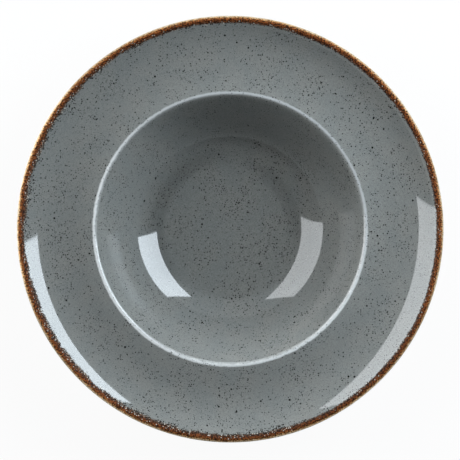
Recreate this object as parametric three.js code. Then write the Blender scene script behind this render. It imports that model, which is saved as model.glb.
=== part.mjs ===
// A rimmed pasta plate in glazed porcelain: one fired body, and the coats of glaze fused to it.
// Millimetres, +Z up. The origin is the centre of the foot ring's resting face.
import * as THREE from "three";

const { degToRad } = THREE.MathUtils;

// Sizes of the finished plate
const PLATE_DIAMETER = 260;
const LIP_DIAMETER = 166.6; // crest of the lip, between the well and the flange
const WELL_FLOOR_DIAMETER = 73; // flat middle of the well
const WELL_DEPTH = 37.4; // from the lip's crest down to the floor
const RIM_RISE = 7; // top of the rim above the lip's crest
const FLANGE_THICKNESS = 4.2;
const WALL_THICKNESS = 4.6; // well's wall and floor
const LIP_RADIUS = 1.9;
const NECK_FILLET = 11; // under the flange, along each side of the corner
const FOOT_DIAMETER = 102;
const FOOT_WIDTH = 5;
const FOOT_HEIGHT = 3.4; // recess inside the foot ring
const FOOT_ROUND = 1.1;
const FOOT_FILLET = 1.6;
const GLAZE_THICKNESS = 0.4;
const BAND_FACE_WIDTH = 6.5; // brown band on the flange's face
const BAND_BACK_WIDTH = 6; // brown band on the flange's back
const SEAM = 0.05; // hairline kept between neighbouring solids
const SAME_POINT = 0.005; // nearer than this, two points of an outline are one

// Slopes from the horizontal
const WALL_LEAN = degToRad(53); // well's wall just under the lip
const FLANGE_FALL = degToRad(6); // flange falling away from the lip
const FLANGE_RISE = degToRad(33.5); // flange rising to the rim

// How far a curve keeps the direction of each end, as a share of the way between its ends
const WALL_TOP_SHARE = 0.51;
const WALL_FLOOR_SHARE = 0.305;
const FLANGE_RIM_SHARE = 0.5;
const FLANGE_LIP_SHARE = 0.2;

// Most of a side that a fillet may take
const FILLET_SHARE = 0.9;

// Facets
const TURN_STEPS = 48;
const WALL_STEPS = 9;
const FLANGE_STEPS = 6;
const BAND_STEPS = 1;
const EDGE_UNDER_STEPS = 2;
const EDGE_OVER_STEPS = 4;
const LIP_STEPS = 3;
const FILLET_STEPS = 2;
const ROUND_STEPS = 2;
const HALVINGS = 40;

// Heights and radii that follow from the sizes
const rimRadius = PLATE_DIAMETER / 2;
const lipRadius = LIP_DIAMETER / 2;
const floorHeight = FOOT_HEIGHT + WALL_THICKNESS;
const lipHeight = floorHeight + WELL_DEPTH;
const rimHeight = lipHeight + RIM_RISE;
const footOuter = FOOT_DIAMETER / 2;
const footInner = footOuter - FOOT_WIDTH;
const footRound = Math.min(FOOT_ROUND, FOOT_WIDTH / 2);
const footFillet = Math.min(FOOT_FILLET, (FOOT_HEIGHT - footRound) * FILLET_SHARE);
const edgeRound = FLANGE_THICKNESS / 2;

const at = (radius, height) => new THREE.Vector2(radius, height);
const heading = (angle) => at(Math.cos(angle), Math.sin(angle));

// A station is a point of the finished outline and the direction that faces out of the plate there.
// The outline runs from the middle of the base, out over the foot and the back to the rim,
// and home over the face to the middle of the well, so outward is on its right.
function stationOn(curve, share, depth = 0) {
  const tangent = curve.getTangent(share);
  const face = at(tangent.y, -tangent.x);
  const point = curve.getPoint(share).addScaledVector(face, -depth);
  return { point, normal: depth ? face.negate() : face };
}

// Stations along a curve, or along the back of the wall of that depth behind it.
function along(curve, from, to, steps, depth = 0) {
  const stations = [];
  for (let step = 0; step <= steps; step++) {
    stations.push(stationOn(curve, from + ((to - from) * step) / steps, depth));
  }
  return stations;
}

// Stations round a convex edge, between two directions of its outward normal.
function roundEdge(centre, radius, from, to, steps) {
  const stations = [];
  for (let step = 0; step <= steps; step++) {
    const normal = heading(from + ((to - from) * step) / steps);
    stations.push({ point: centre.clone().addScaledVector(normal, radius), normal });
  }
  return stations;
}

// Where a curve, or the back behind it, reaches a radius ("x") or a height ("y"), found by halving.
function shareWhere(curve, axis, value, depth = 0) {
  const reach = (share) => stationOn(curve, share, depth).point[axis];
  const rising = reach(1) > reach(0);
  let low = 0;
  let high = 1;
  for (let halving = 0; halving < HALVINGS; halving++) {
    const middle = (low + high) / 2;
    if (reach(middle) < value === rising) low = middle;
    else high = middle;
  }
  return (low + high) / 2;
}

// Where the tangents at two stations cross.
function tangentsCross(first, second) {
  const apart = second.point.clone().sub(first.point);
  const turn = first.normal.cross(second.normal);
  const reach = apart.dot(second.normal) / turn;
  return at(-first.normal.y, first.normal.x).multiplyScalar(reach).add(first.point);
}

// A fillet between two stations, as a curve that keeps both their directions.
function filletBetween(first, second) {
  return new THREE.QuadraticBezierCurve(first.point, tangentsCross(first, second), second.point);
}

// Joins runs of stations that meet end to end.
function joined(...runs) {
  return runs.reduce((whole, run) => [...whole, ...run.slice(1)]);
}

// Face of the flange, from the rim in to the lip
const edgeCentre = at(rimRadius - edgeRound, rimHeight - edgeRound);
const edgeTop = Math.PI / 2 + FLANGE_RISE;
const flangeRim = edgeCentre.clone().addScaledVector(heading(edgeTop), edgeRound);
const lipCentre = at(lipRadius, lipHeight - LIP_RADIUS);
const lipOutside = Math.PI / 2 - FLANGE_FALL;
const lipInside = Math.PI / 2 + WALL_LEAN;
const flangeLip = lipCentre.clone().addScaledVector(heading(lipOutside), LIP_RADIUS);
const flangeRun = flangeRim.x - flangeLip.x;
const flange = new THREE.CubicBezierCurve(
  flangeRim,
  flangeRim.clone().addScaledVector(heading(FLANGE_RISE), -flangeRun * FLANGE_RIM_SHARE),
  flangeLip.clone().addScaledVector(heading(-FLANGE_FALL), flangeRun * FLANGE_LIP_SHARE),
  flangeLip,
);

// Face of the well's wall, from the lip down to the floor
const wallTop = lipCentre.clone().addScaledVector(heading(lipInside), LIP_RADIUS);
const wallFoot = at(WELL_FLOOR_DIAMETER / 2, floorHeight);
const wallRun = wallTop.distanceTo(wallFoot);
const wall = new THREE.CubicBezierCurve(
  wallTop,
  wallTop.clone().addScaledVector(heading(WALL_LEAN), -wallRun * WALL_TOP_SHARE),
  at(wallFoot.x + wallRun * WALL_FLOOR_SHARE, floorHeight),
  wallFoot,
);
const floor = new THREE.LineCurve(wallFoot, at(0, floorHeight));

// Back of the plate: the wall and the flange at their thickness, and a fillet in the corner between
const corner = tangentsCross(stationOn(wall, 0, WALL_THICKNESS), stationOn(flange, 1, FLANGE_THICKNESS));
const neckOnWall = shareWhere(wall, "y", corner.y - NECK_FILLET * Math.sin(WALL_LEAN), WALL_THICKNESS);
const neckOnFlange = shareWhere(flange, "x", corner.x + NECK_FILLET, FLANGE_THICKNESS);
const neck = filletBetween(
  stationOn(wall, neckOnWall, WALL_THICKNESS),
  stationOn(flange, neckOnFlange, FLANGE_THICKNESS),
);

// Foot ring: its two sides, and the fillets up to the base and to the back of the wall
const footOnWall = shareWhere(wall, "x", footOuter + footFillet, WALL_THICKNESS);
const footShoulder = stationOn(wall, footOnWall, WALL_THICKNESS);
const footCorner = tangentsCross({ point: at(footOuter, 0), normal: at(1, 0) }, footShoulder);
const footSideTop = at(footOuter, footCorner.y - footFillet);
const base = new THREE.LineCurve(at(0, FOOT_HEIGHT), at(footInner - footFillet, FOOT_HEIGHT));
const baseFillet = new THREE.QuadraticBezierCurve(
  at(footInner - footFillet, FOOT_HEIGHT),
  at(footInner, FOOT_HEIGHT),
  at(footInner, FOOT_HEIGHT - footFillet),
);
const footInside = new THREE.LineCurve(at(footInner, FOOT_HEIGHT - footFillet), at(footInner, footRound));
const footFace = new THREE.LineCurve(at(footInner + footRound, 0), at(footOuter - footRound, 0));
const footOutside = new THREE.LineCurve(at(footOuter, footRound), footSideTop);
const footNeck = new THREE.QuadraticBezierCurve(footSideTop, footCorner, footShoulder.point);

// Where the brown band starts on the flange's back and ends on its face
const bandOnBack = shareWhere(flange, "x", rimRadius - BAND_BACK_WIDTH, FLANGE_THICKNESS);
const bandOnFace = shareWhere(flange, "x", rimRadius - BAND_FACE_WIDTH);

// The finished outline in zones. A zone with a coat is glazed, and elsewhere the body itself shows.
const zones = [
  {
    coat: "base_glaze",
    stations: joined(
      along(base, 0, 1, 1),
      along(baseFillet, 0, 1, FILLET_STEPS),
      along(footInside, 0, 1, 1),
    ),
  },
  {
    stations: joined(
      roundEdge(at(footInner + footRound, footRound), footRound, -Math.PI, -Math.PI / 2, ROUND_STEPS),
      along(footFace, 0, 1, 1),
      roundEdge(at(footOuter - footRound, footRound), footRound, -Math.PI / 2, 0, ROUND_STEPS),
    ),
  },
  {
    coat: "back_glaze",
    stations: joined(
      along(footOutside, 0, 1, 1),
      along(footNeck, 0, 1, FILLET_STEPS),
      along(wall, footOnWall, neckOnWall, WALL_STEPS, WALL_THICKNESS),
      along(neck, 0, 1, FILLET_STEPS),
      along(flange, neckOnFlange, bandOnBack, FLANGE_STEPS, FLANGE_THICKNESS),
    ),
  },
  {
    coat: "rim_band",
    stations: joined(
      along(flange, bandOnBack, 0, BAND_STEPS, FLANGE_THICKNESS),
      roundEdge(edgeCentre, edgeRound, edgeTop - Math.PI, 0, EDGE_UNDER_STEPS),
      roundEdge(edgeCentre, edgeRound, 0, edgeTop, EDGE_OVER_STEPS),
      along(flange, 0, bandOnFace, BAND_STEPS),
    ),
  },
  { coat: "flange_glaze", stations: along(flange, bandOnFace, 1, FLANGE_STEPS) },
  { stations: roundEdge(lipCentre, LIP_RADIUS, lipOutside, lipInside, LIP_STEPS) },
  {
    coat: "well_glaze",
    stations: joined(along(wall, 0, 1, WALL_STEPS), along(floor, 0, 1, 1)),
  },
];

const sunk = ({ point, normal }, depth) => point.clone().addScaledVector(normal, -depth);

// A solid of revolution about the vertical axis.
function turned(outline) {
  const isNew = (point, i) => i === 0 || point.distanceTo(outline[i - 1]) > SAME_POINT;
  return new THREE.LatheGeometry(outline.filter(isNew), TURN_STEPS).rotateX(Math.PI / 2);
}

// The body lies under its coats, and comes up to the finished outline where it is bare.
function bodyOutline() {
  return zones.flatMap(({ coat, stations }) =>
    stations.map((station) => sunk(station, coat ? GLAZE_THICKNESS + SEAM : 0)),
  );
}

// A coat ends a hairline short of its neighbour, except where it closes over the axis.
function trimmed(station, side) {
  const { point, normal } = station;
  if (point.x === 0) return station;
  const shift = (side * SEAM) / 2;
  return { point: point.clone().addScaledVector(at(-normal.y, normal.x), shift), normal };
}

function coatOutline(stations) {
  const coat = [trimmed(stations[0], 1), ...stations.slice(1, -1), trimmed(stations.at(-1), -1)];
  const outside = coat.map((station) => sunk(station, 0));
  const inside = coat.map((station) => sunk(station, GLAZE_THICKNESS)).reverse();
  const meetsAxis = coat.some(({ point }) => point.x === 0);
  if (!meetsAxis) return [...outside, ...inside, outside[0]];
  const startsOnAxis = coat[0].point.x === 0;
  return startsOnAxis ? [...outside, ...inside] : [...inside, ...outside];
}

const porcelain = new THREE.MeshStandardMaterial({ color: "#d8d6d0", roughness: 0.45, metalness: 0 });
const slateGlaze = new THREE.MeshStandardMaterial({ color: "#71787a", roughness: 0.1, metalness: 0 });
const brownGlaze = new THREE.MeshStandardMaterial({ color: "#6e3d1f", roughness: 0.2, metalness: 0 });

function piece(name, outline, material) {
  const mesh = new THREE.Mesh(turned(outline), material);
  mesh.name = name;
  return mesh;
}

const plate = new THREE.Group();
plate.add(piece("porcelain_body", bodyOutline(), porcelain));
for (const { coat, stations } of zones) {
  if (!coat) continue;
  plate.add(piece(coat, coatOutline(stations), coat === "rim_band" ? brownGlaze : slateGlaze));
}

export default plate;
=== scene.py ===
# %% [markdown]
# # A pasta plate in speckled slate glaze
# The real thing is one fired porcelain body under coats of glaze that are fused to it.
# Everything on it is round, so each piece could be cut from a disc, sculpted or turned.
# Turning is chosen here: half of a section is drawn once and spun about the plate's axis,
# which is also how such plates are shaped in the factory.

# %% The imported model
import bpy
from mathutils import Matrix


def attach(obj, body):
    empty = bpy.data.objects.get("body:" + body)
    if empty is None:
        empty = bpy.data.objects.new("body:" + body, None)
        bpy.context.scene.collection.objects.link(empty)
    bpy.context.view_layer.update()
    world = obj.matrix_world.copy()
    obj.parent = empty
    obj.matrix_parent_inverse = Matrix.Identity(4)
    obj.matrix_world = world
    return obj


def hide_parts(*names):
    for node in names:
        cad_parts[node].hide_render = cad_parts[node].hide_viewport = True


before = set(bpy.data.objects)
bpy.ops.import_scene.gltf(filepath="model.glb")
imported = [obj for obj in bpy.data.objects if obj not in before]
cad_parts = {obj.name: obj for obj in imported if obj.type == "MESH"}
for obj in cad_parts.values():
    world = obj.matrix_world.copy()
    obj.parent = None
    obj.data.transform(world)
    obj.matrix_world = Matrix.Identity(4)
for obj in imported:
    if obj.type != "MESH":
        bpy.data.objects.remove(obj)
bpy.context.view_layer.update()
print("solids:", sorted(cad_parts))

# %% Tools for the lesson
from math import cos, pi, radians, sin

import bmesh
import bpy
from mathutils import Matrix, Vector
from mathutils.geometry import interpolate_bezier, intersect_line_line

# %% [markdown]
# ## The section of the plate
# A plate is known by its section: a flat floor, a wall that steepens up to the lip, a flange that
# falls away from the lip and rises to the rim, and a back that follows them at the wall's
# thickness. It could be traced point by point. Curves through a few sizes are chosen, because a
# potter thinks in those sizes, and because a glossy glaze shows every bump that a hand-placed
# point would leave.

# %% Sizes in millimetres
MM = 0.001
PLATE_RADIUS = 130
LIP_RADIUS = 83.3
FLOOR_RADIUS = 36.5
FOOT_RADIUS = 51
FOOT_WIDTH = 5
FOOT_HEIGHT = 3.4
WALL = 4.6
FLANGE = 4.2
GLAZE = 0.4
WELL_DEPTH = 37.4
RIM_RISE = 7
FLOOR_TOP = FOOT_HEIGHT + WALL
LIP_TOP = FLOOR_TOP + WELL_DEPTH
RIM_TOP = LIP_TOP + RIM_RISE
WALL_LEAN = radians(53)
FLANGE_FALL = radians(6)
FLANGE_RISE = radians(33.5)
print("lip at", LIP_TOP, "mm, rim at", RIM_TOP, "mm")


# %% Points and arcs of the section
def at(radius, height):
    return Vector((radius, 0, height))


def heading(angle):
    return at(cos(angle), sin(angle))


def arc(centre, radius, start, end, steps):
    turn = (end - start) / steps
    return [centre + radius * heading(start + turn * step) for step in range(steps + 1)]


# %% Lines behind a line, and fillets
ON_AXIS = 1e-6


def sunk(line, depth):
    """The line moved into the plate, whose outside is on its right."""
    moved = []
    for i, point in enumerate(line):
        way = (line[min(i + 1, len(line) - 1)] - line[max(i - 1, 0)]).normalized()
        inner = point - depth * at(way.z, -way.x)
        moved.append(at(0, inner.z) if point.x < ON_AXIS else inner)
    return moved


def crossing(first, first_way, second, second_way):
    return intersect_line_line(first, first + first_way, second, second + second_way)[0]


def fillet(first, corner, last, steps):
    """A round between two lines, with handles two thirds of the way to their corner."""
    handles = first.lerp(corner, 2 / 3), last.lerp(corner, 2 / 3)
    return interpolate_bezier(first, *handles, last, steps)


# %% Edge of the rim and crest of the lip
EDGE = FLANGE / 2
EDGE_STEPS = 28
LIP_ROUND = 1.9
LIP_STEPS = 20
edge_centre = at(PLATE_RADIUS - EDGE, RIM_TOP - EDGE)
edge_top = pi / 2 + FLANGE_RISE
edge = arc(edge_centre, EDGE, edge_top - pi, edge_top, EDGE_STEPS)
lip_centre = at(LIP_RADIUS, LIP_TOP - LIP_ROUND)
lip = arc(lip_centre, LIP_ROUND, pi / 2 - FLANGE_FALL, pi / 2 + WALL_LEAN, LIP_STEPS)
print("lip crest from", round(lip[-1].x, 1), "to", round(lip[0].x, 1), "mm from the axis")

# %% Face of the flange and of the well
FACE_POINTS = 60
RISE_PULL, FALL_PULL = 0.5, 0.2
WALL_PULL, FLOOR_PULL = 0.51, 0.305
FLOOR_SHARES = (0.75, 0.5, 0.25, 0)
run = edge[-1].x - lip[0].x
flange = interpolate_bezier(
    edge[-1], edge[-1] - RISE_PULL * run * heading(FLANGE_RISE),
    lip[0] + FALL_PULL * run * heading(-FLANGE_FALL), lip[0], FACE_POINTS)
floor_edge = at(FLOOR_RADIUS, FLOOR_TOP)
drop = (lip[-1] - floor_edge).length
wall = interpolate_bezier(
    lip[-1], lip[-1] - WALL_PULL * drop * heading(WALL_LEAN),
    floor_edge + at(FLOOR_PULL * drop, 0), floor_edge, FACE_POINTS)
floor_line = [at(FLOOR_RADIUS * share, FLOOR_TOP) for share in FLOOR_SHARES]
print("flange's lowest ring:", round(min(flange, key=lambda p: p.z).x, 1), "mm from the axis")

# %% Back of the wall and of the flange
NECK_REACH = 11
NECK_POINTS = 14
FOOT_FILLET = 1.6
wall_back = sunk(wall, WALL)[::-1]
flange_back = sunk(flange, FLANGE)[::-1]
neck_corner = crossing(
    wall_back[-1], heading(WALL_LEAN), flange_back[0], heading(-FLANGE_FALL))
neck_start = neck_corner.z - NECK_REACH * sin(WALL_LEAN)
wall_back = [p for p in wall_back if p.z < neck_start and p.x > FOOT_RADIUS + FOOT_FILLET]
flange_back = [p for p in flange_back if p.x > neck_corner.x + NECK_REACH]
neck_corner = crossing(
    wall_back[-1], wall_back[-1] - wall_back[-2],
    flange_back[0], flange_back[1] - flange_back[0])
neck = fillet(wall_back[-1], neck_corner, flange_back[0], NECK_POINTS)
print("back runs from", round(wall_back[0].z, 1), "to", round(flange_back[-1].z, 1), "mm high")

# %% Foot ring and base
FOOT_ROUND = 1.1
FOOT_STEPS = 6
FILLET_POINTS = 8
BASE_RING = 20
foot_inside = FOOT_RADIUS - FOOT_WIDTH
foot_corner = crossing(
    at(FOOT_RADIUS, 0), at(0, 1), wall_back[0], wall_back[1] - wall_back[0])
foot_outside = [at(FOOT_RADIUS, FOOT_ROUND), foot_corner - at(0, FOOT_FILLET)]
foot_neck = fillet(foot_outside[-1], foot_corner, wall_back[0], FILLET_POINTS)
base_corner = at(foot_inside, FOOT_HEIGHT)
base_fillet = fillet(
    base_corner - at(FOOT_FILLET, 0), base_corner, base_corner - at(0, FOOT_FILLET),
    FILLET_POINTS)
base = (
    [at(0, FOOT_HEIGHT), at(BASE_RING, FOOT_HEIGHT)] + base_fillet
    + [at(foot_inside, FOOT_ROUND)])
inner_round = at(foot_inside + FOOT_ROUND, FOOT_ROUND)
outer_round = at(FOOT_RADIUS - FOOT_ROUND, FOOT_ROUND)
foot = (
    arc(inner_round, FOOT_ROUND, -pi, -pi / 2, FOOT_STEPS)
    + arc(outer_round, FOOT_ROUND, -pi / 2, 0, FOOT_STEPS))
print("foot ring's outside is", round(foot_corner.z, 1), "mm high")

# %% Zones of the section, from the foot over the rim to the well
BAND_FACE = PLATE_RADIUS - 6.5
BAND_BACK = PLATE_RADIUS - 6
band = (
    [p for p in flange_back if p.x > BAND_BACK] + edge[1:-1]
    + [p for p in flange if p.x > BAND_FACE])
flange_face = [band[-1]] + [p for p in flange if p.x <= BAND_FACE]
back = (
    foot_outside + foot_neck[1:-1] + wall_back + neck[1:-1]
    + [p for p in flange_back if p.x <= BAND_BACK] + [band[0]])
well = wall + floor_line
print("points in the section:", len(base + foot + back + band + flange_face + lip + well))

# %% [markdown]
# ## Turning the pieces
# Each coat is a thin solid: its outer line is the finished section and its inner line lies a
# glaze's thickness under it. A modifier could give that thickness, but a closed outline spun once
# round the axis gives a clean solid at once. Edges that really are corners are marked sharp, so
# that the smooth shading of the glaze isn't smeared round them.

# %% A spun solid
TURN_STEPS = 256
MERGE = 1e-7


def turned(outline):
    bm = bmesh.new()
    points = [bm.verts.new(point * MM) for point in outline]
    lines = [bm.edges.new(pair) for pair in zip(points, points[1:])]
    if outline[0].x > 0:
        lines.append(bm.edges.new((points[-1], points[0])))
    bmesh.ops.spin(
        bm, geom=points + lines, cent=(0, 0, 0), axis=(0, 0, 1), angle=2 * pi,
        steps=TURN_STEPS, use_merge=True)
    bmesh.ops.remove_doubles(bm, verts=bm.verts, dist=MERGE)
    bmesh.ops.recalc_face_normals(bm, faces=bm.faces)
    return bm


# %% A finished piece of the plate
CORNER = radians(35)


def plate_piece(name, outline, node):
    bm = turned(outline)
    for face in bm.faces:
        face.smooth = True
    for line in bm.edges:
        line.smooth = line.calc_face_angle(0) < CORNER
    mesh = bpy.data.meshes.new(name)
    bm.to_mesh(mesh)
    bm.free()
    piece = bpy.data.objects.new(name, mesh)
    bpy.context.collection.objects.link(piece)
    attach(piece, "root")
    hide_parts(node)
    sides = [round(side / MM, 1) for side in piece.dimensions]
    print(name, len(mesh.polygons), "faces,", sides, "mm")
    return piece


def coat(line):
    """A coat's outline. Where the line meets the axis, the outline starts and ends there."""
    inside = sunk(line, GLAZE)[::-1]
    return line + inside if line[0].x < line[-1].x else inside + line


# %% Body
HAIRLINE = 0.05
UNDER = GLAZE + HAIRLINE
body_line = (
    sunk(base, UNDER) + foot + sunk(back, UNDER) + sunk(band, UNDER)[1:]
    + sunk(flange_face, UNDER)[1:] + lip + sunk(well, UNDER))
body_piece = plate_piece("plate_body", body_line, "porcelain_body")

# %% Coats of glaze
well_piece = plate_piece("well_coat", coat(well), "well_glaze")
flange_piece = plate_piece("flange_coat", coat(flange_face), "flange_glaze")
band_piece = plate_piece("edge_band", coat(band), "rim_band")
back_piece = plate_piece("back_coat", coat(back), "back_glaze")
base_piece = plate_piece("base_coat", coat(base), "base_glaze")

# %% [markdown]
# ## Building finishes from nodes
# A finish is a tree of small nodes, and clicking them together is the usual way. In a script the
# same few steps come back again and again: add a node, feed its sockets, fade, blend and add
# noise. Short helpers for those keep each finish readable.


# %% Adding a node and feeding its sockets
def feed(tree, socket, value):
    if isinstance(value, bpy.types.NodeSocket):
        tree.links.new(value, socket)
    else:
        socket.default_value = value


def add(tree, kind, inputs, **settings):
    made = tree.nodes.new(kind)
    for name, value in settings.items():
        setattr(made, name, value)
    for name, value in inputs.items():
        feed(tree, made.inputs[name], value)
    return made


# %% Sums and products
def calc(tree, operation, *values):
    inputs = dict(enumerate(values))
    return add(tree, "ShaderNodeMath", inputs, operation=operation).outputs[0]


def plus(tree, value, *others):
    for other in others:
        value = calc(tree, "ADD", value, other)
    return value


def times(tree, value, *others):
    for other in others:
        value = calc(tree, "MULTIPLY", value, other)
    return value


# %% Fades and bands
def fade(tree, value, low, high, start=0.0, end=1.0):
    """Eases from start to end while the value goes from low to high."""
    ends = {"Value": value, "From Min": low, "From Max": high, "To Min": start, "To Max": end}
    made = add(tree, "ShaderNodeMapRange", ends, interpolation_type="SMOOTHSTEP")
    return made.outputs["Result"]


def within(tree, value, start, full, last, end):
    """Rises from start to full and falls from last to end."""
    rise = fade(tree, value, start, full)
    return times(tree, rise, fade(tree, value, last, end, 1.0, 0.0))


# %% Blends and scaled colours
def blend(tree, share, first, second):
    """Numbers stand for the sockets of the factor and of the two colours."""
    inputs = {0: share, 6: first, 7: second}
    return add(tree, "ShaderNodeMix", inputs, data_type="RGBA").outputs[2]


def scaled(tree, vector, factor):
    inputs = {0: vector, "Scale": factor}
    return add(tree, "ShaderNodeVectorMath", inputs, operation="SCALE").outputs[0]


def along(tree, place, way):
    """How far a place lies in a direction."""
    inputs = {0: place, 1: way}
    made = add(tree, "ShaderNodeVectorMath", inputs, operation="DOT_PRODUCT")
    return made.outputs["Value"]


# %% Noise
def noise(tree, place, size, detail=2.0):
    """Soft random values round a half, in patches about as wide as the size."""
    inputs = {"Vector": place, "Scale": 1 / size, "Detail": detail}
    return add(tree, "ShaderNodeTexNoise", inputs).outputs[0]


def sway(tree, place, size, swing, detail=2.0):
    """Noise that goes to both sides of nothing."""
    centred = calc(tree, "SUBTRACT", noise(tree, place, size, detail), 0.5)
    return times(tree, centred, swing)


# %% Groups that several finishes share
def new_group(name, takes, gives):
    tree = bpy.data.node_groups.new(name, "ShaderNodeTree")
    for way, sockets in (("INPUT", takes), ("OUTPUT", gives)):
        for socket, kind in sockets.items():
            tree.interface.new_socket(
                name=socket, in_out=way, socket_type="NodeSocket" + kind)
    inputs = tree.nodes.new("NodeGroupInput").outputs
    outputs = tree.nodes.new("NodeGroupOutput").inputs
    return tree, inputs, outputs


def use(tree, group, inputs):
    return add(tree, "ShaderNodeGroup", inputs, node_tree=group).outputs


# %% [markdown]
# ## Distance from the axis
# The lip, the pool of glaze in the well and the brown band are all rings, so they need one
# number: how far a point lies from the plate's axis. A painted map could hold it, but a piece's
# own coordinates already do, because every piece sits unturned at the origin.

# %% Ring group
LEVEL = (1, 1, 0)
ring_group, takes, gives = new_group("ring", {"Place": "Vector"}, {"Radius": "Float"})
tree = ring_group
flat = add(tree, "ShaderNodeVectorMath", {0: takes["Place"], 1: LEVEL}, operation="MULTIPLY")
radius = add(tree, "ShaderNodeVectorMath", {0: flat.outputs[0]}, operation="LENGTH")
feed(tree, gives["Radius"], radius.outputs["Value"])
print("group", tree.name)

# %% [markdown]
# ## Specks
# Iron in the clay and in the glaze burns to small dark dots when the plate is fired. They could
# be modelled or scattered one by one. Cells of a Voronoi texture are lighter: each cell keeps or
# drops its dot by its own random number, and a slow cloud makes some areas busier than others.

# %% Speck group
BUSY_SIZE = 0.013
BUSY_NOISE = (0.32, 0.68)
BUSY = (0.25, 1.75)
SMALLEST_DOT = 0.5
DOT_CORE = 0.7
speck_group, takes, gives = new_group(
    "specks", {"Place": "Vector", "Spacing": "Float", "Size": "Float", "Share": "Float"},
    {"Mask": "Float"})
tree, place = speck_group, takes["Place"]
count = calc(tree, "DIVIDE", 1.0, takes["Spacing"])
cells = add(tree, "ShaderNodeTexVoronoi", {
    "Vector": scaled(tree, place, count), "Scale": 1.0}).outputs
chance, extent, _ = add(tree, "ShaderNodeSeparateColor", {"Color": cells["Color"]}).outputs
busy = fade(tree, noise(tree, place, BUSY_SIZE), *BUSY_NOISE, *BUSY)
kept = calc(tree, "LESS_THAN", chance, times(tree, takes["Share"], busy))
reach = times(tree, takes["Size"], count, plus(tree, extent, SMALLEST_DOT))
dot = fade(tree, cells["Distance"], times(tree, reach, DOT_CORE), reach, 1.0, 0.0)
feed(tree, gives["Mask"], times(tree, kept, dot))
print("group", tree.name, "with", len(tree.nodes), "nodes")

# %% [markdown]
# ## Slate glaze
# The glaze is a grey that is a little blue, cloudy over a centimetre, grainy under a millimetre
# and dotted with iron. One group gives its colour, its roughness and a faint unevenness of its
# surface, and the face, the back and the inner side of the brown band all place it. They share
# coordinates, so the glaze runs on from piece to piece without a seam.

# %% Dots of the glaze
# Each kind has a spacing, a size, the share of cells that keep their dot, and a strength.
DOTS = (
    (0.0013, 0.00033, 0.56, 1.0),
    (0.0009, 0.00021, 0.66, 0.70),
    (0.0036, 0.00052, 0.26, 1.0))
slate_group, takes, gives = new_group(
    "slate", {"Place": "Vector", "Depth": "Float"},
    {"Color": "Color", "Roughness": "Float", "Height": "Float", "Dots": "Float"})
tree, place = slate_group, takes["Place"]
dots = 0.0
for spacing, size, share, strength in DOTS:
    inputs = {"Place": place, "Spacing": spacing, "Size": size, "Share": share}
    mask = use(tree, speck_group, inputs)["Mask"]
    dots = calc(tree, "MAXIMUM", dots, times(tree, mask, strength))
feed(tree, gives["Dots"], dots)
print("kinds of dots:", len(DOTS))

# %% Colour of the glaze
# Towards the right the colour is painted lighter and towards the left darker: painted light.
CLOUD_SIZE, CLOUD_NOISE = 0.014, (0.3, 0.7)
GRAIN_SIZE, GRAIN_NOISE = 0.0006, (0.2, 0.8)
GRAIN = (0.82, 1.18)
DARKER_PER_DEPTH = 0.14
SIDE_LIGHT, SIDE_LIGHT_WAY = 1.10, (0.80, 0.10, 0)
DARK_SLATE = (0.174, 0.181, 0.173, 1)
PALE_SLATE = (0.190, 0.192, 0.180, 1)
IRON = (0.009, 0.009, 0.008, 1)
clouds = noise(tree, place, CLOUD_SIZE, 3.0)
ground = blend(tree, fade(tree, clouds, *CLOUD_NOISE), DARK_SLATE, PALE_SLATE)
grain = fade(tree, noise(tree, place, GRAIN_SIZE, 1.0), *GRAIN_NOISE, *GRAIN)
# Deeper glaze darkens the colour, and so does painted shade fed in the same way; below nothing it
# is painted light.
pooled_and_shaded = calc(tree, "SUBTRACT", 1.0, times(tree, takes["Depth"], DARKER_PER_DEPTH))
side_light = plus(tree, SIDE_LIGHT, along(tree, place, SIDE_LIGHT_WAY))
ground = scaled(tree, ground, times(tree, grain, pooled_and_shaded, side_light))
feed(tree, gives["Color"], blend(tree, dots, ground, IRON))
print("group", tree.name, "with", len(tree.nodes), "nodes")

# %% Surface of the glaze
SWELL_SIZE, SWELL = 0.02, 1.5e-5
PEEL_SIZE, PEEL = 0.0025, 0.8e-6
GLOSS = (0.045, 0.06)
swell = times(tree, noise(tree, place, SWELL_SIZE, 1.0), SWELL)
peel = times(tree, noise(tree, place, PEEL_SIZE, 1.0), PEEL)
feed(tree, gives["Height"], plus(tree, swell, peel))
feed(tree, gives["Roughness"], fade(tree, clouds, *CLOUD_NOISE, *GLOSS))
print("the glaze swells by up to", round(SWELL / MM, 3), "mm")

# %% [markdown]
# ## Brushed rim
# The rim is brushed with iron oxide by hand. The border strays, the left side got more, and dark
# dabs reach out over the glaze there. It could be painted as a map; here noise in three sizes
# does it. The band and the flange both show the brush, so a group measures it for both: how far
# in from the edge a place lies, how far through the oxide that is, how heavily it was brushed,
# and where the dark fringe is.

# %% Distance from the edge, made ragged
# Under the widest line of the edge the oxide counts as deeper, so the tan stays on top.
STRAYS = ((0.016, 0.0012), (0.0030, 0.0010), (0.0007, 0.0022))
UNDERCUT = 0.0013
UNDERCUT_FULL, UNDERCUT_START = 0.0010, 0.0001
EDGE_RING = (0.1275, 0.1288)
UP = (0, 0, 1)
brush_group, takes, gives = new_group(
    "brush", {"Place": "Vector"},
    {"Inward": "Float", "Past": "Float", "Weight": "Float", "Fringe": "Float"})
tree, place = brush_group, takes["Place"]
radius = use(tree, ring_group, {"Place": place})["Radius"]
inward = calc(tree, "SUBTRACT", PLATE_RADIUS * MM, radius)
for size, swing in STRAYS:
    inward = plus(tree, inward, sway(tree, place, size, swing))
widest = edge_centre.z * MM
height = along(tree, place, UP)
below = fade(tree, height, widest - UNDERCUT_FULL, widest - UNDERCUT_START, UNDERCUT, 0.0)
inward = plus(tree, inward, times(tree, below, fade(tree, radius, *EDGE_RING)))
feed(tree, gives["Inward"], inward)
print("the border strays in", len(STRAYS), "sizes")

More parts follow.
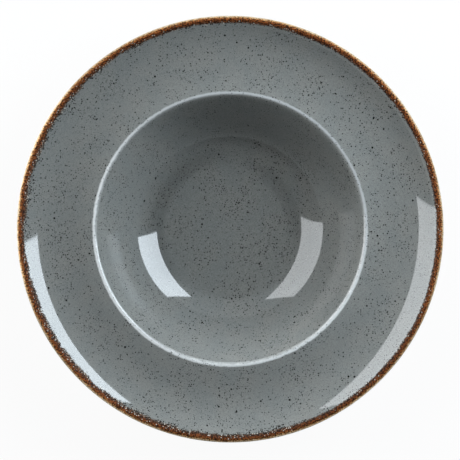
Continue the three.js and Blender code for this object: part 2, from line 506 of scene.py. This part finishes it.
# %% Width of the oxide
# The distance is stretched so that the border lies at the same value all round.
BORDER = 0.0042
WIDTH = 0.0045
WIDER = 0.0011
WIDER_SIZE, WIDER_NOISE = 0.011, (0.40, 0.62)
LEFT_WAY, LEFT_REACH = (-1.0, -0.2, 0), (-0.02, 0.06)
LIGHT_BRUSH = 0.4
left = fade(tree, along(tree, place, LEFT_WAY), *LEFT_REACH)
heavy = fade(tree, noise(tree, place, WIDER_SIZE), *WIDER_NOISE, 0.0, WIDER)
width = plus(tree, times(tree, left, heavy), WIDTH)
past = calc(tree, "DIVIDE", times(tree, inward, BORDER), width)
weight = fade(tree, left, 0.0, 1.0, LIGHT_BRUSH, 1.0)
feed(tree, gives["Past"], past)
feed(tree, gives["Weight"], weight)
print("oxide is up to", round((WIDTH + WIDER) / MM, 1), "mm wide")

# %% Dark fringe
CROWD_END = (0.0040, 0.0054)
DAB_SIZE, DAB_NOISE = 0.0048, (0.46, 0.58)
DAB_END = (0.0046, 0.0078)
DAB_WAY, DAB_REACH = (-0.8, -0.6, 0), (-0.03, 0.05)
DAB_SHARE = 1.3
FRINGE_DOTS = {"Spacing": 0.0010, "Size": 0.00050}
crowd = times(tree, fade(tree, past, *CROWD_END, 1.0, 0.0), weight)
near = fade(tree, along(tree, place, DAB_WAY), *DAB_REACH, 0.0, DAB_SHARE)
dabs = fade(tree, noise(tree, place, DAB_SIZE), *DAB_NOISE)
dabs = times(tree, dabs, fade(tree, inward, *DAB_END, 1.0, 0.0))
share = calc(tree, "MAXIMUM", crowd, times(tree, dabs, near))
fringe = use(tree, speck_group, {"Place": place, "Share": share, **FRINGE_DOTS})
feed(tree, gives["Fringe"], fringe["Mask"])
print("group", tree.name, "with", len(tree.nodes), "nodes")


# %% [markdown]
# ## Materials
# A material starts with a Principled shader and a place to read: the object's own coordinates,
# which stay put when the plate is moved. Heights are in metres, so the Bump node's distance is 1.
# On and beside the lip only a film of glaze is left on the pale clay. Towards the front the film
# is painted paler: a painted highlight.

# %% A new material
PLAIN_FILM = (0.43, 0.44, 0.44, 1)
HIGHLIT_FILM = (0.72, 0.73, 0.72, 1)
HIGHLIGHT_WAY, HIGHLIGHT_REACH = (-0.4, -0.9, 0), (-0.065, 0.02)


def new_material(name, ior):
    material = bpy.data.materials.new(name)
    material.use_nodes = True
    tree = material.node_tree
    shader = tree.nodes["Principled BSDF"]
    shader.inputs["IOR"].default_value = ior
    place = tree.nodes.new("ShaderNodeTexCoord").outputs["Object"]
    return material, tree, shader.inputs, place


# Pale clay under a film of glaze, with a painted highlight towards the front.
def clay_film_and_highlight(tree, place):
    highlight = fade(tree, along(tree, place, HIGHLIGHT_WAY), *HIGHLIGHT_REACH)
    return blend(tree, highlight, PLAIN_FILM, HIGHLIT_FILM)


def bumped(tree, height):
    inputs = {"Height": height, "Strength": 1.0, "Distance": 1.0}
    return add(tree, "ShaderNodeBump", inputs).outputs[0]


# %% [markdown]
# ## Glaze on the face
# Fluid glaze runs off a crest and gathers in a hollow. Beside the lip it thins until the pale
# body shows through, and towards the floor of the well it lies thicker and darker. Painted shade
# darkens the back of the wall and a few other areas, and painted light brightens some areas at the
# front. All this follows from the distance to the axis and a direction, with a little noise at the
# lip so that no border is drawn with a compass.

# %% Where the face glaze thins
GLAZE_IOR = 1.76
LIP_WAVER_SIZE, LIP_WAVER = 0.0022, 0.0008
LIP_BREAK = (-0.0021, -0.0003, 0.0004, 0.0015)
face_glaze, tree, shader, place = new_material("face_glaze", GLAZE_IOR)
radius = use(tree, ring_group, {"Place": place})["Radius"]
from_lip = calc(tree, "SUBTRACT", radius, LIP_RADIUS * MM)
from_lip = plus(tree, from_lip, sway(tree, place, LIP_WAVER_SIZE, LIP_WAVER))
thin = within(tree, from_lip, *LIP_BREAK)
print("glaze breaks within about a millimetre of the lip")

# %% How deep it lies, with painted shade and light
# Each area of painted shade or light has a direction, how far out that way it starts and is full,
# the depth before and after, and the ring it keeps to: where that starts, is full, is last full and
# ends.
WALL_RING = (0.050, 0.062, 0.079, 0.083)
RIM_RING = (0.106, 0.122, 0.131, 0.132)
LEFT_SHADE_RING = (0.0395, 0.044, 0.047, 0.054)
FRONT_LIGHT_RING = (0.0425, 0.0465, 0.0545, 0.0570)
FLOOR_SHADE_RING = (0.0345, 0.0370, 0.0425, 0.0470)
PAINTED_LIGHT_AND_SHADE = (
    ((0.30, 0.95, 0), (0.025, 0.067), (-0.5, 2.6), WALL_RING),  # painted shade at the back of the wall, painted light at its front
    ((0.95, -0.2, 0), (0.048, 0.070), (0.0, 1.2), WALL_RING),  # painted shade on the right of the wall
    ((-0.95, 0.3, 0), (0.01, 0.04), (0.0, 1.3), LEFT_SHADE_RING),  # painted shade low on the left of the wall
    ((0, -1, 0), (0.025, 0.040), (0.0, -1.05), FRONT_LIGHT_RING),  # painted light low on the front of the wall
    ((0.85, 0.5, 0), (0.025, 0.038), (0.0, 1.0), FLOOR_SHADE_RING),  # painted shade round the floor's edge, back right
    ((0.7, 0.7, 0), (0.07, 0.12), (0.0, 1.2), RIM_RING),  # painted shade on the outer flange, back right
    ((-0.75, -0.65, 0), (0.0, 0.10), (0.0, -0.5), RIM_RING))  # painted light on the outer flange, front left
DRAINED, DRAINED_RING = -0.65, (0.0825, 0.0835, 0.084, 0.098)
GATHERED = (0.042, 0.080)
depth = fade(tree, radius, *GATHERED, 1.0, 0.0)
for way, start_full, shades, ring in PAINTED_LIGHT_AND_SHADE:
    painted = fade(tree, along(tree, place, way), *start_full, *shades)
    depth = plus(tree, depth, times(tree, painted, within(tree, radius, *ring)))
depth = plus(tree, depth, times(tree, within(tree, radius, *DRAINED_RING), DRAINED))
# The count below is of the areas of painted light and shade.
print("pools of glaze:", len(PAINTED_LIGHT_AND_SHADE))

# %% Face glaze
# Iron makes the dots glossier than the glaze, so they show less inside a reflection.
IRON_IOR = 1.93
DOT_IN_FILM = 0.45
FRINGE = (0.022, 0.018, 0.015, 1)
slate = use(tree, slate_group, {"Place": place, "Depth": depth})
broken = times(tree, thin, fade(tree, slate["Dots"], 0.0, 1.0, 1.0, DOT_IN_FILM))
colour = blend(tree, broken, slate["Color"], clay_film_and_highlight(tree, place))
fringe = use(tree, brush_group, {"Place": place})["Fringe"]
feed(tree, shader["Base Color"], blend(tree, fringe, colour, FRINGE))
feed(tree, shader["Roughness"], slate["Roughness"])
feed(tree, shader["IOR"], fade(tree, slate["Dots"], 0.0, 1.0, GLAZE_IOR, IRON_IOR))
feed(tree, shader["Normal"], bumped(tree, slate["Height"]))
for piece in (well_piece, flange_piece):
    piece.data.materials.append(face_glaze)
print("material", face_glaze.name)

# %% [markdown]
# ## Glaze on the back
# The underside is dipped in the same glaze, and then the foot is wiped clean so that it can't
# stick to the kiln. A thin warm line is left where the wiped edge meets the bare clay.

# %% Back glaze
BACK_DEPTH = 0.3
WARM_LINE = (0.16, 0.075, 0.034, 1)
WIPED, WIPED_HEIGHT = 0.85, (0.0008, 0.0016)
WIPED_DULLER = 0.3
WIPE_SIZE, WIPE_WAVER = 0.004, 0.0009
back_glaze, tree, shader, place = new_material("back_glaze", GLAZE_IOR)
slate = use(tree, slate_group, {"Place": place, "Depth": BACK_DEPTH})
waver = times(tree, noise(tree, place, WIPE_SIZE), WIPE_WAVER)
height = calc(tree, "SUBTRACT", along(tree, place, UP), waver)
wiped = fade(tree, height, *WIPED_HEIGHT, WIPED, 0.0)
duller = plus(tree, slate["Roughness"], times(tree, wiped, WIPED_DULLER))
feed(tree, shader["Base Color"], blend(tree, wiped, slate["Color"], WARM_LINE))
feed(tree, shader["Roughness"], duller)
feed(tree, shader["Normal"], bumped(tree, slate["Height"]))
for piece in (back_piece, base_piece):
    piece.data.materials.append(back_glaze)
print("material", back_glaze.name)

# %% [markdown]
# ## Brown band
# The oxide burns away to tan on the very edge, is orange and brown over the next millimetres and
# ends in a black fringe on the slate, with flecks where it chipped. Its colours lie in order of
# distance from the edge, so a colour ramp holds them. The oxide is dry while the slate is glossy:
# the gloss is a coat that the oxide goes without.

# %% Brush marks on the band
OXIDE_IOR = 1.5
band_glaze, tree, shader, place = new_material("band_glaze", OXIDE_IOR)
brush = use(tree, brush_group, {"Place": place})
inward, past, weight = brush["Inward"], brush["Past"], brush["Weight"]
print("outputs of the brush:", len(brush))

# %% Colours of the oxide
# Each stop has a distance from the edge and a colour.
STOPS = (
    (0.0000, (0.42, 0.36, 0.28)), (0.0004, (0.40, 0.31, 0.20)),
    (0.0009, (0.29, 0.165, 0.072)), (0.0015, (0.172, 0.062, 0.017)),
    (0.0023, (0.120, 0.033, 0.008)), (0.0034, (0.084, 0.026, 0.008)),
    (0.0040, (0.066, 0.032, 0.018)), (0.0047, (0.085, 0.066, 0.052)))
REACH = 0.005
BORDER_PULL = 0.4
inner_way = times(tree, past, BORDER_PULL)
inner_way = plus(tree, inner_way, times(tree, inward, 1 - BORDER_PULL))
ramp = add(tree, "ShaderNodeValToRGB", {"Fac": calc(tree, "DIVIDE", inner_way, REACH)})
marks = ramp.color_ramp.elements
while len(marks) < len(STOPS):
    marks.new(1.0)
for mark, (stop, colour) in zip(marks, STOPS):
    mark.position = stop / REACH
    mark.color = (*colour, 1)
print("stops in the ramp:", len(marks))

# %% Flecks of the oxide, and painted light and shade
# Each painted tone of light or shade has a direction, how far out that way it starts and is full, a
# strength, two distances from the edge, and the shares of the tone at those.
PAINTED_TONES = (
    ((0, -1, 0), (0.07, 0.12), 1.1, (0.0007, 0.0014), (1.0, 0.0)),  # painted light on the edge in front
    ((-1, 0.15, 0), (0.105, 0.126), 0.8, (0.0009, 0.0017), (1.0, 0.0)),  # painted highlight on the edge on the left
    ((0.3, -0.95, 0), (0.05, 0.12), -0.28, (0.0010, 0.0018), (0.0, 1.0)))  # painted shade on the oxide in front
FLECK_SIZE, FLECK_NOISE = 0.0009, (0.38, 0.62)
FLECKS = (0.15, 1.95)
CALM, CALM_EDGE = 0.2, (0.0003, 0.0014)
flecks = fade(tree, noise(tree, place, FLECK_SIZE, 1.0), *FLECK_NOISE, *FLECKS)
flecks = times(tree, calc(tree, "SUBTRACT", flecks, 1.0),
               fade(tree, inward, *CALM_EDGE, CALM, 1.0))
painted_tone = 1.0
for way, start_full, strength, distances, shares in PAINTED_TONES:
    side = fade(tree, along(tree, place, way), *start_full, 0.0, strength)
    painted_tone = plus(tree, painted_tone, times(tree, side, fade(tree, inward, *distances, *shares)))
brightness = times(tree, plus(tree, 1.0, flecks), painted_tone)
oxide = scaled(tree, ramp.outputs["Color"], brightness)
print("tones of the oxide:", len(PAINTED_TONES))

# %% Burnt and chipped specks
BURNT, BURNT_START = (0.016, 0.012, 0.010, 1), (0.0014, 0.0032)
BURNT_DOTS = {"Spacing": 0.0010, "Size": 0.00038}
CHIPPED, CHIPPED_RING = (0.46, 0.42, 0.36, 1), (0.0016, 0.0034, 0.0043, 0.0052)
CHIPPED_DOTS = {"Spacing": 0.0011, "Size": 0.00032}
BORDER_EASE = (0.0040, 0.0045)
slate = use(tree, slate_group, {"Place": place, "Depth": 0.0})
share = times(tree, fade(tree, past, *BURNT_START), weight)
burnt = use(tree, speck_group, {"Place": place, "Share": share, **BURNT_DOTS})
oxide = blend(tree, burnt["Mask"], oxide, BURNT)
border = fade(tree, past, *BORDER_EASE, 1.0, 0.0)
ground = blend(tree, brush["Fringe"], slate["Color"], FRINGE)
worn = blend(tree, border, ground, oxide)
share = times(tree, within(tree, past, *CHIPPED_RING), weight)
chipped = use(tree, speck_group, {"Place": place, "Share": share, **CHIPPED_DOTS})
feed(tree, shader["Base Color"], blend(tree, chipped["Mask"], worn, CHIPPED))
print("burnt specks lie on the oxide and chipped ones across its border")

# %% Dry oxide beside glossy slate
GRIT_SIZE, GRIT = 0.0008, 4e-5
SLATE_DULL, OXIDE_DULL = 0.4, 0.6
COAT_DULL = 0.05
OXIDE_SHINE = 0.1
grit = times(tree, noise(tree, place, GRIT_SIZE), border, GRIT)
feed(tree, shader["Roughness"], fade(tree, border, 0.0, 1.0, SLATE_DULL, OXIDE_DULL))
feed(tree, shader["Normal"], bumped(tree, plus(tree, slate["Height"], grit)))
feed(tree, shader["Coat Weight"], calc(tree, "SUBTRACT", 1.0, border))
shader["Coat IOR"].default_value = GLAZE_IOR
shader["Coat Roughness"].default_value = COAT_DULL
shader["Specular IOR Level"].default_value = OXIDE_SHINE
band_piece.data.materials.append(band_glaze)
print("material", band_glaze.name)

# %% [markdown]
# ## Bare porcelain
# The body shows in two places. On the crest of the lip a film of glaze is left over pale clay,
# with dots of iron in it. On the foot ring the clay is bare, warm and satin, and grey where it
# has stood. Height tells the two apart, so one material does for the whole body.

# %% Crest of the lip
DOT_IN_CREST = 0.6
CREST_IRON = (0.05, 0.05, 0.048, 1)
CREST_SIZE, CREST_SWAY = 0.003, 0.0012
BARE_LEAST, BARE_RING = 0.20, (0.0820, 0.0833)
porcelain, tree, shader, place = new_material("porcelain", GLAZE_IOR)
slate = use(tree, slate_group, {"Place": place, "Depth": 0.0})
radius = use(tree, ring_group, {"Place": place})["Radius"]
film = plus(tree, radius, sway(tree, place, CREST_SIZE, CREST_SWAY, 3.0))
bare = fade(tree, film, *BARE_RING, BARE_LEAST, 1.0)
# The clay's film carries the painted highlight towards the front.
crest = blend(tree, bare, slate["Color"], clay_film_and_highlight(tree, place))
crest = blend(tree, times(tree, slate["Dots"], DOT_IN_CREST), crest, CREST_IRON)
print("clay shows from about 82 mm outwards")

# %% Foot ring
DARK_CLAY = (0.66, 0.62, 0.54, 1)
PALE_CLAY = (0.76, 0.73, 0.67, 1)
CLAY_SIZE = 0.003
STOOD, STOOD_HEIGHT = (0.30, 0.29, 0.27, 1), 0.0006
PATCH_SIZE, PATCH_NOISE = 0.006, (0.45, 0.65)
PATCHES = 0.5
height = along(tree, place, UP)
clay = blend(tree, noise(tree, place, CLAY_SIZE), DARK_CLAY, PALE_CLAY)
patches = fade(tree, noise(tree, place, PATCH_SIZE, 3.0), *PATCH_NOISE, 0.0, PATCHES)
stood = times(tree, fade(tree, height, 0.0, STOOD_HEIGHT, 1.0, 0.0), patches)
clay = blend(tree, stood, clay, STOOD)
print("the foot is grey in its lowest", round(STOOD_HEIGHT / MM, 1), "mm")

# %% Porcelain
SATIN, FILM_GLOSS = 0.55, 0.08
TOOTH_SIZE = 0.0006
CLAY_TOOTH, FILM_TOOTH = 1.5e-5, 1e-6
CREST_HEIGHT = (0.020, 0.030)
high = fade(tree, height, *CREST_HEIGHT)
tooth = fade(tree, high, 0.0, 1.0, CLAY_TOOTH, FILM_TOOTH)
tooth = times(tree, noise(tree, place, TOOTH_SIZE), tooth)
feed(tree, shader["Base Color"], blend(tree, high, clay, crest))
feed(tree, shader["Roughness"], fade(tree, high, 0.0, 1.0, SATIN, FILM_GLOSS))
feed(tree, shader["Normal"], bumped(tree, tooth))
body_piece.data.materials.append(porcelain)
print("material", porcelain.name)

# %% [markdown]
# ## Studio
# The plate lies on a wide white sweep, which starts a hair under the foot so that the two faces
# don't fight. Two tall softboxes stand on its right and left, and low strips on the left and at
# the back graze the flange. They could be bare lamps, but the glaze is a mirror: it shows the
# softboxes as the curved bands in the well and on the flange, so their shape and place matter as
# much as their brightness.

# %% White sweep
SWEEP = 3.2
SWEEP_CENTRE = 0.5
DROP = 0.0001
CURVE = 0.8
CURVE_STEPS = 12
curve = arc(at(SWEEP, CURVE - DROP), CURVE, -pi / 2, -pi / 8, CURVE_STEPS)
sweep_line = [at(0, -DROP), at(SWEEP_CENTRE, -DROP)] + curve
sweep_mesh = bpy.data.meshes.new("sweep")
bm = turned([point / MM for point in sweep_line])
bm.to_mesh(sweep_mesh)
bm.free()
sweep = bpy.data.objects.new("sweep", sweep_mesh)
bpy.context.collection.objects.link(sweep)
print("sweep is", round(2 * sweep_line[-1].x, 1), "m across")

# %% White paper
# Where it is seen, directly or in the glaze, the paper is almost plain white. Only the light
# that it throws on the plate comes from the lamps.
OVEREXPOSED = 0.93
PAPER = (0.8, 0.8, 0.8, 1)
paper = bpy.data.materials.new("paper")
paper.use_nodes = True
tree = paper.node_tree
tree.nodes.remove(tree.nodes["Principled BSDF"])
path = tree.nodes.new("ShaderNodeLightPath").outputs
seen = plus(tree, path["Is Camera Ray"], path["Is Glossy Ray"], path["Is Transmission Ray"])
lit = add(tree, "ShaderNodeBsdfDiffuse", {"Color": PAPER}).outputs[0]
white = add(tree, "ShaderNodeEmission", {"Strength": 1.0}).outputs[0]
mixed = {0: times(tree, seen, OVEREXPOSED), 1: lit, 2: white}
mixed = add(tree, "ShaderNodeMixShader", mixed).outputs[0]
feed(tree, tree.nodes["Material Output"].inputs["Surface"], mixed)
sweep_mesh.materials.append(paper)
print("material", paper.name)


# %% A softbox between two level edges
def softbox(name, glow, tint, bearing, top, bottom, start, end):
    """Edges are (distance, height) along the bearing, and it reaches sideways from start to end."""
    way = Vector((cos(bearing), sin(bearing), 0))
    aside = Vector((-sin(bearing), cos(bearing), 0))
    upper, lower = (
        way * distance + Vector((0, 0, height)) for distance, height in (top, bottom))
    up = (upper - lower).normalized()
    lamp = bpy.data.lights.new(name, "AREA")
    lamp.shape = "RECTANGLE"
    lamp.size = end - start
    lamp.size_y = (upper - lower).length
    lamp.energy = pi * glow * lamp.size * lamp.size_y
    lamp.color = tint
    box = bpy.data.objects.new(name, lamp)
    turn = Matrix((aside, up, aside.cross(up))).transposed().to_4x4()
    middle = (upper + lower) / 2 + aside * (start + end) / 2
    box.matrix_world = Matrix.Translation(middle) @ turn
    box.visible_camera = False
    bpy.context.collection.objects.link(box)
    print(name, round(lamp.energy, 1), "W")


# %% Softboxes
COOL = (0.84, 0.94, 1.02)
MILD = (0.93, 0.97, 1.0)
RIGHT = radians(10)
LEFT = radians(177)
BACK = radians(88)
softbox("right_box", 6.9, COOL, RIGHT, (0.625, 0.99), (1.11, 0.07), -0.090, 0.755)
softbox("left_box", 3.35, MILD, LEFT, (0.60, 1.185), (1.30, 0.07), -1.08, 0.142)
softbox("left_strip", 6.0, MILD, LEFT, (0.85, 0.20), (0.88, 0.07), -1.0, 0.1275)
softbox("back_strip", 5.8, MILD, BACK, (1.0, 0.235), (1.0, 0.075), -1.6, 1.6)

# %% World
AIR = 0.01
world = bpy.data.worlds.new("studio")
world.use_nodes = True
air = world.node_tree.nodes["Background"].inputs
air["Color"].default_value = (1, 1, 1, 1)
air["Strength"].default_value = AIR
bpy.context.scene.world = world
print("world", world.name)

# %% [markdown]
# ## Camera
# The plate is seen straight from above. The camera could be framed by eye, but the rim's outline
# is known in the picture, so its focal length follows from that: a circle of known size at a
# known distance has to fill a known number of pixels. The shifts put its centre where it is in
# the picture.

# %% Camera
FRAME_PIXELS = 460
EDGE_PIXELS = 213.4
SHIFT_PIXELS = (-0.2, -0.95)
CAMERA_HEIGHT = 1.3
SENSOR_WIDTH = 36
lens = bpy.data.cameras.new("camera")
lens.sensor_width = SENSOR_WIDTH
distance = CAMERA_HEIGHT - edge_centre.z * MM
share = EDGE_PIXELS / FRAME_PIXELS
lens.lens = SENSOR_WIDTH * share * distance / (PLATE_RADIUS * MM)
lens.shift_x, lens.shift_y = (pixels / FRAME_PIXELS for pixels in SHIFT_PIXELS)
camera = bpy.data.objects.new("camera", lens)
camera.location.z = CAMERA_HEIGHT
bpy.context.collection.objects.link(camera)
bpy.context.scene.camera = camera
bpy.context.scene.view_settings.view_transform = "Standard"
print("lens:", round(lens.lens, 1), "mm")
